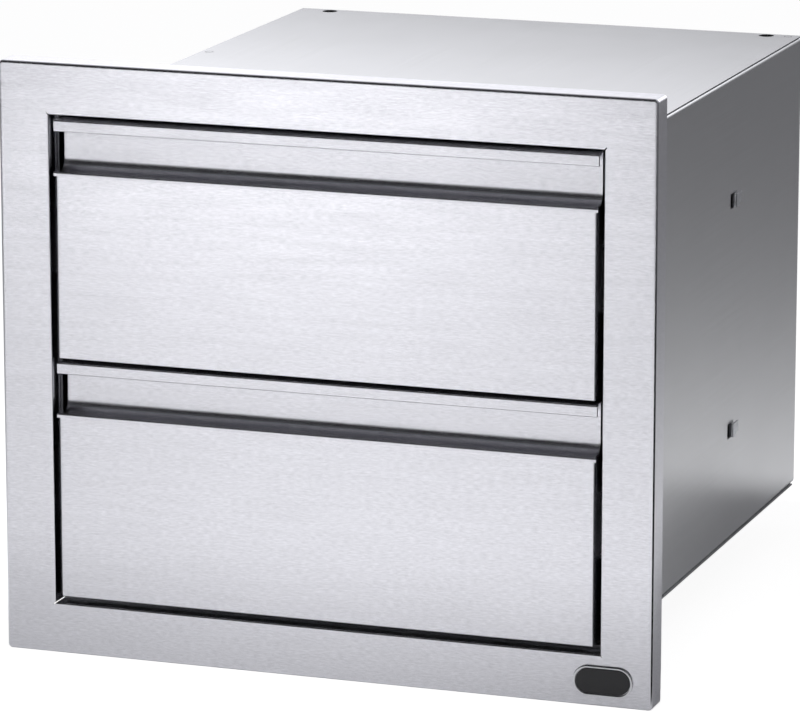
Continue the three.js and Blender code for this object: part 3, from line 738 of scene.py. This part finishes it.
def back_pan():
    """A grid whose columns follow the section across the pan and whose rows follow the upright section.

    A point takes x from the first and z from the second, and y is the sum of how far each stands before the
    plane of the plate. Extra columns and rows bound the holes, the open corners and the notches.
    """
    first_run, second_run = (0, 4), (11, 15)
    plane = cabinet_rear - back_sheet / 2
    edge_x, edge_z = back_half - back_sheet / 2, back_top - back_sheet / 2
    side_start, lap_start = cabinet_rear - back_side_flange, cabinet_rear - back_flange
    low_corner = cabinet_low + cabinet_sheet
    high_notch, low_notch = back_top - corner_notch_height, low_corner + corner_notch_height
    corners = [
        (-edge_x, side_start),
        (-edge_x, plane, back_bend),
        (edge_x, plane, back_bend),
        (edge_x, side_start),
    ]
    columns = np.concatenate([[-corner_half], around - hole_x, around + hole_x, [corner_half]])
    across, across_normal = with_stations(*folded_line(corners, back_sheet), second_run, 0, columns)
    corners = [(lap_start, edge_z), (plane, edge_z, back_bend), (plane, cabinet_low)]
    rows = np.array([high_notch, low_notch, low_corner + corner_gap])
    up, up_normal = with_stations(*folded_line(corners, back_sheet), second_run, 1, rows)
    up, up_normal = with_stations(up, up_normal, first_run, 0, around + hole_y)
    in_lap = up[:, :1] < plane - back_sheet - back_bend
    plate_normal = across_normal[len(across_normal) // 2, 1]
    skins = []
    for side in (-back_sheet / 2, back_sheet / 2):
        level = across + across_normal * side
        upright = up - up_normal * side
        x = np.repeat(level[None, :, 0], len(upright), axis=0)
        y = level[None, :, 1] + upright[:, None, 0] - (plane + side * plate_normal)
        z = np.repeat(upright[:, None, 1], len(level), axis=1)
        round_x, round_y = drawn_to_hole(*drawn_to_hole(x, y, (-hole_x, hole_y)), (hole_x, hole_y))
        x, y = np.where(in_lap, round_x, x), np.where(in_lap, round_y, y)
        skins.append(np.stack([x, y, z], axis=-1))
    cell_x = abs(across[1:, 0] + across[:-1, 0])[None] / 2
    cell_y, cell_z = ((up[1:] + up[:-1]) / 2).T[..., None]
    above_plate = cell_z > back_top - back_sheet - back_bend
    corner = (cell_x > corner_half) & (above_plate | (cell_z < low_corner + corner_gap))
    notch = (cell_x > corner_notch_half) & ((cell_z > high_notch) | (cell_z < low_notch))
    hole = (abs(cell_x - hole_x) < hole_square) & (abs(cell_y - hole_y) < hole_square)
    return sheet_solid(*skins, ~(corner | notch | (hole & (cell_z > edge_z - tolerance))))


solid = back_pan()
add_piece("cabinet_back_pan", [solid], mill_steel, "cabinet", ["cabinet_back"])


# Slides
# Ball-bearing drawer slides of zinc-plated steel: on each side an outer rail hooked into the cabinet, a
# middle rail that runs in it, and an inner rail screwed to the drawer box, with a rubber stop at the rear.

side_inside = -191.3
slide_sheet = 1.2
slide_fold = 0.25
slide_half_height = 22.75
slide_front, slide_rear = 2.6, 452.6
rail_gap = 0.35
outer_depth, outer_lip = 11.5, 1.55
middle_setback, middle_end_gap = 4.6, 5.0
inner_web, inner_tip = -179.2, -184.1
inner_front, inner_rear = -3.4, 443.6
stop_length = 4.7


def zinc_plated_steel():
    """Cold-rolled steel, bright zinc plated: soft grey with a fine spangle of lighter and darker grains."""
    grain_size = 2.2
    material, tree = bare_material("zinc_plated_steel")
    place = add_node(tree, "ShaderNodeTexCoord")
    grains = add_node(
        tree, "ShaderNodeTexVoronoi", {"Vector": place.outputs["Object"], "Scale": metre / grain_size}
    )
    spangle = add_node(tree, "ShaderNodeSeparateColor", {"Color": grains.outputs["Color"]})
    colour = add_node(
        tree,
        "ShaderNodeMix",
        {0: spangle.outputs[0], 6: linear("#CDCFD2"), 7: linear("#DEE0E2")},
        data_type="RGBA",
    )
    rough = add_node(
        tree, "ShaderNodeMapRange", {"Value": spangle.outputs[1], "To Min": 0.3, "To Max": 0.38}
    )
    steel = add_node(
        tree,
        "ShaderNodeBsdfPrincipled",
        {"Base Color": colour.outputs[2], "Metallic": 1.0, "Roughness": rough.outputs[0]},
    )
    add_node(tree, "ShaderNodeOutputMaterial", {"Surface": steel.outputs[0]})
    return material


hook_height, hook_tip_height = 9.8, 7.4
hook_arm, hook_outside, hook_end, hook_tip_from = 285.8, -194.2, 297.8, 291.8
hook_sheet, hook_bend = 1.0, 0.5
window_rear = hook_arm - hook_sheet / 2


def rail_section(web_at, tip_at, half_height, middle, lip=0.0):
    """Corners of a rail: a channel open toward the drawer, with its flange tips turned in by `lip`.

    The web of a lipped rail has two more corners, above and below the window that its hook was cut from.
    """
    half = slide_sheet / 2
    top, bottom = middle + half_height - half, middle - half_height + half
    web, tip = side_inside + web_at + half, side_inside + tip_at
    if lip == 0:
        return [(tip, bottom), (web, bottom, slide_fold), (web, top, slide_fold), (tip, top)]
    tip -= half
    return [
        (tip, bottom + lip),
        (tip, bottom, slide_fold),
        (web, bottom, slide_fold),
        (web, middle - hook_height / 2),
        (web, middle + hook_height / 2),
        (web, top, slide_fold),
        (tip, top, slide_fold),
        (tip, top - lip),
    ]


def window_keep(x, z, y):
    """Metal everywhere but in the window of an outer rail's web, in front of its hook."""
    in_web = (x < side_inside + slide_sheet) & (y > slot_front) & (y < window_rear)
    near = np.minimum(abs(z - slide_middles[0]), abs(z - slide_middles[1]))
    return ~(in_web & (near < hook_height / 2))


zinc = zinc_plated_steel()

# Black moulded rubber is matt, with a fine grain and a little grey bloom.
rubber = grained_material(
    "black_rubber",
    grain_size=0.8,
    detail=2.0,
    tones=("#1D1D1E", "#2B2B2C"),
    relief=(0.4, 0.05),
    shader={"Roughness": 0.8},
)

outer_tip_inside = outer_depth - slide_sheet - rail_gap
middle_half = slide_half_height - slide_sheet - rail_gap
inner_top = middle_half - slide_sheet - rail_gap - slide_sheet / 2
for drawer, middle in zip(("lower", "upper"), slide_middles):
    outer = rail_section(0.0, outer_depth, slide_half_height, middle, outer_lip)
    running = rail_section(middle_setback, outer_tip_inside, middle_half, middle)
    inner = [
        (inner_tip, middle + inner_top),
        (inner_web, middle + inner_top, slide_fold),
        (inner_web, middle - inner_top, slide_fold),
        (inner_tip, middle - inner_top),
    ]
    hook = [
        (side_inside + slide_sheet, hook_arm),
        (hook_outside, hook_arm, hook_bend),
        (hook_outside, hook_tip_from),
        (hook_outside, hook_end),
    ]
    hook_low = middle - hook_height / 2
    hook_stations = [hook_low, hook_low + hook_height - hook_tip_height, hook_low + hook_height]
    rail_stations = [slide_front, slot_front, window_rear, slide_rear]
    for side, mirror in both_sides:
        name = f"{drawer}_outer_rail_{side}"
        rail = drawn_along("y", outer, slide_sheet, rail_stations, mirror, window_keep)
        tab = drawn_along(
            "z", hook, hook_sheet, hook_stations, mirror,
            keep=lambda x, y, z: (y < hook_tip_from) | (z > hook_stations[1]),
        )
        add_piece(f"{name}_channel", [rail, tab], zinc, "cabinet", [name])
        name = f"{drawer}_middle_rail_{side}"
        rail = drawn_along("y", running, slide_sheet, [slide_front, slide_rear - middle_end_gap], mirror)
        add_piece(f"{name}_channel", [rail], zinc, f"{drawer}_{side}_slide_member", [name])
        name = f"{drawer}_inner_rail_{side}"
        rail = drawn_along("y", inner, slide_sheet, [inner_front, inner_rear], mirror)
        add_piece(f"{name}_channel", [rail], zinc, f"{drawer}_drawer", [name])
        name = f"{drawer}_rail_stop_{side}"
        near, far = side_inside + slide_sheet, side_inside + outer_tip_inside
        upright = [((near + far) / 2, middle - middle_half), ((near + far) / 2, middle + middle_half)]
        block = drawn_along("y", upright, far - near, [slide_rear - stop_length, slide_rear], mirror)
        add_piece(f"{name}_block", [block], rubber, "cabinet", [name], edge=0.8)


# Drawer fronts
# A pan of 1 mm stainless sheet for each drawer: a flat face with returns all round, its corners welded and
# ground, and rear flanges at the sides and below, by which it is screwed to the drawer box.

drawer_bottoms = (32.7, 197.6)
pan_width, pan_height = 376.0, 126.3
pan_sheet, pan_bend, pan_corner = 1.0, 0.15, 1.2
pan_depth = 15.0
pan_side_flange, pan_bottom_flange = 25.0, 16.0
pan_seam = 0.3


def pan_section(flange, centre):
    """Section of the pan from the end of a rear flange to the middle of the face, as [in, depth]."""
    half = pan_sheet / 2
    rear, face = frame_front + pan_depth - half, frame_front + half
    corners = [(flange, rear), (half, rear, pan_bend), (half, face, pan_bend), (centre, face)]
    return folded_line(corners, pan_sheet)


def front_pan(bottom):
    """The pan's section carried round the front, with its corners open at the rear flanges.

    The upper return has no flange, because the finger channel's floor passes there.
    """
    size = (pan_width, pan_height)
    side_line, side_normal = pan_section(pan_side_flange, pan_width / 2)
    low_line, low_normal = pan_section(pan_bottom_flange, pan_height / 2)
    rows = side_line[:, 1] > frame_front + pan_depth - pan_sheet - pan_bend - bend_margin
    skins = []
    for side in (-pan_sheet / 2, pan_sheet / 2):
        across, depth = (side_line + side_normal * side).T
        up = (low_line + low_normal * side)[:, 0]
        up_top = np.where(rows, np.minimum(up, pan_sheet), up)
        rail_ends = (across + pan_seam, np.minimum(across, pan_sheet) + pan_seam)
        stile_ends = (up + pan_seam, up_top + pan_seam)
        skins.append(
            corner_columns(
                across, up, up_top, depth, size, bottom + pan_height / 2, pan_corner,
                rows, rail_ends, stile_ends,
            )
        )
    return sheet_solid(*skins, corner_metal(rows), closed=True)


for drawer, bottom in zip(("lower", "upper"), drawer_bottoms):
    name = f"{drawer}_front_pan"
    solid = front_pan(bottom)
    add_piece(f"{name}_sheet", [solid], brushed_steel, f"{drawer}_drawer", [name])


# Finger channels
# One strip of the same brushed sheet along the top of each front: hooked over the pan's edge, back along a
# floor, round a wide bend up to a plate, and forward to a lip whose edge is hemmed inward.

channel_sheet = 1.0
channel_half, plate_half = 189.2, 187.5
strip_height, channel_rise = 3.0, 0.2
drawer_height, pan_top, lip_height = 162.2, 127.5, 7.9
channel_setback, channel_bend, channel_fold = 14.0, 6.5, 0.05
hem_height, hem_gap = 5.5, 0.1
step_row, step_margin = 0.05, 0.03

channel_steel = brushed_stainless("stainless_no4_channel", smoothest=0.22, roughest=0.28)


def finger_channel(bottom):
    """The channel's section from the strip's lower edge to the end of the hem, drawn from side to side.

    The floor and the top are wider in front, past the narrow rows at floor_step and top_step.
    """
    half = channel_sheet / 2
    strip = frame_front - channel_rise - half
    floor, top = bottom + pan_top - half, bottom + drawer_height - half
    plate, lip = frame_front + channel_setback + half, frame_front + half
    lip_bottom = bottom + drawer_height - lip_height + half
    floor_step, top_step = frame_front + channel_sheet, frame_front + lip_height / 2
    hem = lip + channel_sheet + hem_gap
    line, normal = folded_line(
        [
            (strip, bottom + pan_top - strip_height),
            (strip, floor, channel_rise),
            (floor_step, floor),
            (floor_step + step_row, floor),
            (plate, floor, channel_bend),
            (plate, top, channel_fold),
            (top_step + step_row, top),
            (top_step, top),
            (lip, top, channel_fold),
            (lip, lip_bottom, hem_gap / 2),
            (hem, lip_bottom, hem_gap / 2),
            (hem, lip_bottom + hem_height),
        ],
        channel_sheet,
    )
    step = np.where(line[:, 1] > floor + channel_bend, top_step, floor_step)
    narrow = line[:, 0] > step + step_margin
    half_width = np.where(narrow, plate_half, channel_half)
    skins = []
    for side in (-half, half):
        section = line + normal * side
        x = half_width[:, None] * np.array([-1.0, 1.0])
        y, z = np.repeat(section[:, :1], 2, axis=1), np.repeat(section[:, 1:], 2, axis=1)
        skins.append(np.stack([x, y, z], axis=-1))
    return sheet_solid(*skins)


for drawer, bottom in zip(("lower", "upper"), drawer_bottoms):
    name = f"{drawer}_finger_channel"
    solid = finger_channel(bottom)
    add_piece(f"{name}_strip", [solid], channel_steel, f"{drawer}_drawer", [name])


# Drawer boxes
# Behind each front, a box of mill-finish sheet: sides with hemmed top edges and a flange turned in below,
# a floor that lies on those flanges, a back whose top is bent forward, and a flat inner front.

box_sheet, box_bend, box_half = 1.0, 1.0, 178.6
box_front, box_start, box_rear = -6.4, -5.4, 443.6
box_rise, box_height, box_front_height = 8.0, 118.0, 146.0
box_flange, box_hem, box_hem_gap = 11.0, 9.0, 0.1
floor_inset = 3.0

for drawer, bottom in zip(("lower", "upper"), drawer_bottoms):
    half = box_sheet / 2
    low, high = bottom + box_rise + half, bottom + box_rise + box_height - half
    web = -box_half + half
    hem = web + box_sheet + box_hem_gap
    corners = [
        (-box_half + box_flange, low),
        (web, low, box_bend),
        (web, high, box_hem_gap / 2),
        (hem, high, box_hem_gap / 2),
        (hem, high - box_hem),
    ]
    for side, mirror in both_sides:
        name = f"{drawer}_box_side_{side}"
        solid = drawn_along("y", corners, box_sheet, [box_start, box_rear], mirror)
        add_piece(f"{name}_sheet", [solid], mill_steel, f"{drawer}_drawer", [name])
    floor_half = box_half - floor_inset
    corners = [(box_start, low + box_sheet), (box_rear, low + box_sheet)]
    solid = drawn_along("x", corners, box_sheet, [-floor_half, floor_half])
    name = f"{drawer}_box_floor"
    add_piece(f"{name}_sheet", [solid], mill_steel, f"{drawer}_drawer", [name], edge=0.2)
    back_top, back_low = high - half - box_hem, low + half + box_sheet + box_bend
    back = box_rear - half
    corners = [(box_rear - box_flange, back_top), (back, back_top, box_bend), (back, back_low)]
    back_half = box_half - box_sheet
    solid = drawn_along("x", corners, box_sheet, [-back_half, back_half])
    name = f"{drawer}_box_back"
    add_piece(f"{name}_sheet", [solid], mill_steel, f"{drawer}_drawer", [name])
    front, front_low = box_front + half, bottom + box_rise
    corners = [(front, front_low), (front, front_low + box_front_height)]
    solid = drawn_along("x", corners, box_sheet, [-box_half, box_half])
    name = f"{drawer}_box_front"
    add_piece(f"{name}_sheet", [solid], mill_steel, f"{drawer}_drawer", [name], edge=0.2)


# Screws
# Zinc-plated machine screws with a low domed head and a cross recess: one in each outer rail, two in each
# inner rail, and four that hold each front to its box.

head_radius, head_height, shank_radius, shank_length = 4.0, 1.8, 2.0, 4.0
head_rim_share = 0.35
recess_arm, recess_width, recess_depth = 2.1, 0.55, 1.0
recess_edge, recess_inner = recess_arm + 0.2, recess_arm + 0.15
cabinet_screw_y = 38.6
rail_screw_y = (50.6, 379.1)
front_screw_x, front_screw_up = 171.0, (25.5, 102.0)
seat_outer, seat_inner = -190.1, -177.6


def screw_solid(seat, axis, sign):
    """A screw turned about its axis, with its head toward `sign` of that axis.

    Each ring has a radius r and a height. The dome stands on a rim and is a quarter ellipse, so its height
    goes with the square root of 1 - (r / head_radius)^2. Where a point lies less than recess_width from the
    middle line of one of the cross's arms, its height drops by recess_depth.
    """
    outer = head_radius * np.cos(np.linspace(0, np.pi / 2, 7))
    dome = np.concatenate([outer[outer > recess_edge], np.linspace(recess_inner, 0, 7)])
    bulge = np.sqrt(1 - (dome / head_radius) ** 2)
    crown = head_height * (head_rim_share + (1 - head_rim_share) * bulge)
    radius = np.concatenate([[0, shank_radius, shank_radius, head_radius], dome])
    height = np.concatenate([[-shank_length, -shank_length, 0, 0], crown])
    angle = np.linspace(0, 2 * np.pi, 33)[:-1]
    a, b = radius[:, None] * np.cos(angle), radius[:, None] * np.sin(angle)
    off_arm = np.minimum(abs(a), abs(b))
    inside = (off_arm < recess_width) & (radius[:, None] < recess_arm) & (height[:, None] > 0)
    rise = height[:, None] - recess_depth * inside
    order = {"x": (rise * sign, a, b), "y": (a, rise * sign, b)}[axis]
    rings = np.stack(order, axis=-1) + np.asarray(seat, float)
    return ring_faces(rings, closed_section=False)


for drawer, bottom, middle in zip(("lower", "upper"), drawer_bottoms, slide_middles):
    for side, sign in (("left", 1), ("right", -1)):
        name = f"{drawer}_outer_rail_screw_{side}"
        solid = screw_solid((sign * seat_outer, cabinet_screw_y, middle), "x", sign)
        add_piece(f"{name}_domed", [solid], zinc, "cabinet", [name])
        for order, y in enumerate(rail_screw_y, start=1):
            name = f"{drawer}_inner_rail_screw_{side}_{order}"
            solid = screw_solid((sign * seat_inner, y, middle), "x", sign)
            add_piece(f"{name}_domed", [solid], zinc, f"{drawer}_drawer", [name])
    places = [(sign * front_screw_x, box_start, bottom + up) for up in front_screw_up for sign in (-1, 1)]
    for order, place in enumerate(places, start=1):
        name = f"{drawer}_front_screw_{order}"
        solid = screw_solid(place, "y", 1)
        add_piece(f"{name}_domed", [solid], zinc, f"{drawer}_drawer", [name])


# Studio
# A pale paper floor under soft lamps. Metal mirrors this floor, a card behind the unit glowing with painted
# light, a sheet of painted shade on the floor at the right, and a grey room with a bright ceiling and a dark
# patch high at the front left. To the camera the floor and the room are white, and it sees neither card,
# shade sheet nor lamps.

floor_level, floor_radius = -7.0, 3600.0
floor_glow = 0.92
card_left, card_right, card_y, card_low, card_high = -1600.0, 1000.0, 950.0, 360.0, 1500.0
# Gradients of painted light that the card glows with, seen only in reflections.
card_gradients = (
    ("X", -500.0, 1.3, 100.0, 0.95),
    ("X", 200.0, 1.0, 350.0, 1.6),
    ("Z", 400.0, 0.3, 640.0, 1.6),
    ("Z", 650.0, 1.0, 780.0, 0.55),
)
# A sheet of painted shade lies just above the floor at the right, between these corners.
dark_level = -6.5
dark_corners = [(235.0, -30.0), (1435.0, -2110.0), (2600.0, -600.0), (2400.0, 1730.0)]
wall_strength, patch_strength, ceiling_gain = 0.22, 0.02, 3.0
patch_toward, patch_edge, patch_full = (-0.3, -0.7, 0.65), 0.45, 0.8
ceiling_from, ceiling_full = 0.45, 0.85
even_strength = 0.2


def pale_paper():
    """Matt white paper. To the camera it also glows, so that it is white and keeps the unit's shadow."""
    material, tree = bare_material("pale_paper")
    light_path = add_node(tree, "ShaderNodeLightPath")
    matt = add_node(tree, "ShaderNodeBsdfDiffuse", {"Color": linear("#E8E8EA")})
    faint = add_node(tree, "ShaderNodeBsdfDiffuse", {"Color": linear("#959595")})
    glow = add_node(tree, "ShaderNodeEmission", {"Color": linear("#FFFFFF"), "Strength": floor_glow})
    seen = add_node(tree, "ShaderNodeAddShader", {0: faint.outputs[0], 1: glow.outputs[0]})
    surface = add_node(
        tree,
        "ShaderNodeMixShader",
        {0: light_path.outputs["Is Camera Ray"], 1: matt.outputs[0], 2: seen.outputs[0]},
    )
    add_node(tree, "ShaderNodeOutputMaterial", {"Surface": surface.outputs[0]})
    return material


def painted_light_card():
    """A card glowing with painted light, for reflections only: the product of its gradients is its strength.

    Each gradient is an axis, a place on it with its strength, and a second place with its strength. It runs
    evenly between the two and is level beyond them.
    """
    material, tree = bare_material("painted_light_card")
    light_path = add_node(tree, "ShaderNodeLightPath")
    place = add_node(tree, "ShaderNodeTexCoord")
    part = add_node(tree, "ShaderNodeSeparateXYZ", {"Vector": place.outputs["Object"]})
    strength = 1.0
    for axis, start, first, end, last in card_gradients:
        reach = {"From Min": start / metre, "To Min": first, "From Max": end / metre, "To Max": last}
        grade = add_node(tree, "ShaderNodeMapRange", {"Value": part.outputs[axis], **reach})
        product = add_node(tree, "ShaderNodeMath", {0: strength, 1: grade.outputs[0]}, operation="MULTIPLY")
        strength = product.outputs[0]
    lit = add_node(tree, "ShaderNodeEmission", {"Color": linear("#FAFAFF"), "Strength": strength})
    clear = add_node(tree, "ShaderNodeBsdfTransparent")
    surface = add_node(
        tree,
        "ShaderNodeMixShader",
        {0: light_path.outputs["Is Glossy Ray"], 1: clear.outputs[0], 2: lit.outputs[0]},
    )
    add_node(tree, "ShaderNodeOutputMaterial", {"Surface": surface.outputs[0]})
    return material


def painted_shade_sheet():
    """A sheet of painted shade: matt black, seen only in reflections."""
    material, tree = bare_material("painted_shade_sheet")
    light_path = add_node(tree, "ShaderNodeLightPath")
    black = add_node(tree, "ShaderNodeBsdfDiffuse", {"Color": linear("#101010")})
    clear = add_node(tree, "ShaderNodeBsdfTransparent")
    surface = add_node(
        tree,
        "ShaderNodeMixShader",
        {0: light_path.outputs["Is Glossy Ray"], 1: clear.outputs[0], 2: black.outputs[0]},
    )
    add_node(tree, "ShaderNodeOutputMaterial", {"Surface": surface.outputs[0]})
    return material


def stage_sheet(name, corners, material):
    """Adds one flat face between its corners, as a piece of the stage."""
    mesh = bpy.data.meshes.new(name)
    mesh.from_pydata(np.asarray(corners) / metre, [], [list(range(len(corners)))])
    mesh.materials.append(material)
    sheet = bpy.data.objects.new(name, mesh)
    bpy.context.scene.collection.objects.link(sheet)


angle = np.linspace(0, 2 * np.pi, 97)[:-1]
rim = np.stack([floor_radius * np.cos(angle), floor_radius * np.sin(angle)], axis=1)
stage_sheet("floor", np.insert(rim, 2, floor_level, axis=1), pale_paper())
card_corners = [
    (card_left, card_y, card_low),
    (card_right, card_y, card_low),
    (card_right, card_y, card_high),
    (card_left, card_y, card_high),
]
stage_sheet("card", card_corners, painted_light_card())
stage_sheet("painted_shade_floor_sheet", [(x, y, dark_level) for x, y in dark_corners], painted_shade_sheet())

world = bpy.data.worlds.new("studio")
bpy.context.scene.world = world
world.use_nodes = True
tree = world.node_tree
tree.nodes.clear()
toward = add_node(tree, "ShaderNodeTexCoord")
patch = add_node(
    tree,
    "ShaderNodeVectorMath",
    {0: toward.outputs["Generated"], 1: patch_toward},
    operation="DOT_PRODUCT",
)
wall = add_node(
    tree,
    "ShaderNodeMapRange",
    {
        "Value": patch.outputs["Value"],
        "From Min": patch_edge,
        "From Max": patch_full,
        "To Min": wall_strength,
        "To Max": patch_strength,
    },
    interpolation_type="SMOOTHSTEP",
)
part = add_node(tree, "ShaderNodeSeparateXYZ", {"Vector": toward.outputs["Generated"]})
ceiling = add_node(
    tree,
    "ShaderNodeMapRange",
    {
        "Value": part.outputs["Z"],
        "From Min": ceiling_from,
        "From Max": ceiling_full,
        "To Min": 1.0,
        "To Max": ceiling_gain,
    },
    interpolation_type="SMOOTHSTEP",
)
room = add_node(tree, "ShaderNodeMath", {0: wall.outputs[0], 1: ceiling.outputs[0]}, operation="MULTIPLY")
light_path = add_node(tree, "ShaderNodeLightPath")
mirrored = add_node(tree, "ShaderNodeBackground", {"Color": linear("#FAFAFF"), "Strength": room.outputs[0]})
even = add_node(tree, "ShaderNodeBackground", {"Color": linear("#FAFAFF"), "Strength": even_strength})
white = add_node(tree, "ShaderNodeBackground", {"Color": linear("#FFFFFF"), "Strength": 1.0})
metal = add_node(
    tree,
    "ShaderNodeMixShader",
    {0: light_path.outputs["Is Glossy Ray"], 1: even.outputs[0], 2: mirrored.outputs[0]},
)
seen = add_node(
    tree,
    "ShaderNodeMixShader",
    {0: light_path.outputs["Is Camera Ray"], 1: metal.outputs[0], 2: white.outputs[0]},
)
add_node(tree, "ShaderNodeOutputWorld", {"Surface": seen.outputs[0]})


def soft_lamp(name, place, turned, size, watts):
    """A rectangular soft lamp facing down at `place`, turned by `turned` degrees. Metal doesn't mirror it."""
    lamp = bpy.data.lights.new(name, "AREA")
    lamp.shape, lamp.size, lamp.size_y, lamp.energy = "RECTANGLE", size[0] / metre, size[1] / metre, watts
    holder = bpy.data.objects.new(name, lamp)
    holder.location = np.array(place) / metre
    holder.rotation_euler = (0.0, 0.0, math.radians(turned))
    holder.visible_camera, holder.visible_glossy = False, False
    bpy.context.scene.collection.objects.link(holder)


soft_lamp("far_strip", (-1080, -2910, 570), -19.4, (250, 3000), 29.5)
soft_lamp("near_strip", (-310, -940, 650), -19.4, (300, 2600), 8.0)
soft_lamp("foot_spot", (-20, -100, 450), 0.0, (300, 100), 0.6)
soft_lamp("edge_strip", (665, -1040, 220), 23.0, (100, 1300), 3.0)
soft_lamp("right_spot", (320, 150, 300), 0.0, (100, 200), 0.08)
soft_lamp("rear_spot", (-20, 280, 920), 0.0, (120, 120), 8.1)

bpy.context.scene.view_settings.view_transform = "Standard"


# Camera
# At the photograph's viewing angle: turned 19 degrees to the left and 13 degrees down, 3.4 m from the frame.
# Its focal length is in pixels of the photograph, which is 800 of them wide.

camera_place = (1162.9, -3161.2, 975.9)
turned_left, turned_down = 19.4469, 12.8875
focal_pixels, width_pixels, sensor_width = 5226.7, 800.0, 36.0

camera_data = bpy.data.cameras.new("camera")
camera_data.sensor_width = sensor_width
camera_data.lens = focal_pixels * sensor_width / width_pixels
camera = bpy.data.objects.new("camera", camera_data)
camera.location = np.array(camera_place) / metre
camera.rotation_euler = (math.radians(90 - turned_down), 0.0, math.radians(turned_left))
bpy.context.scene.collection.objects.link(camera)
bpy.context.scene.camera = camera
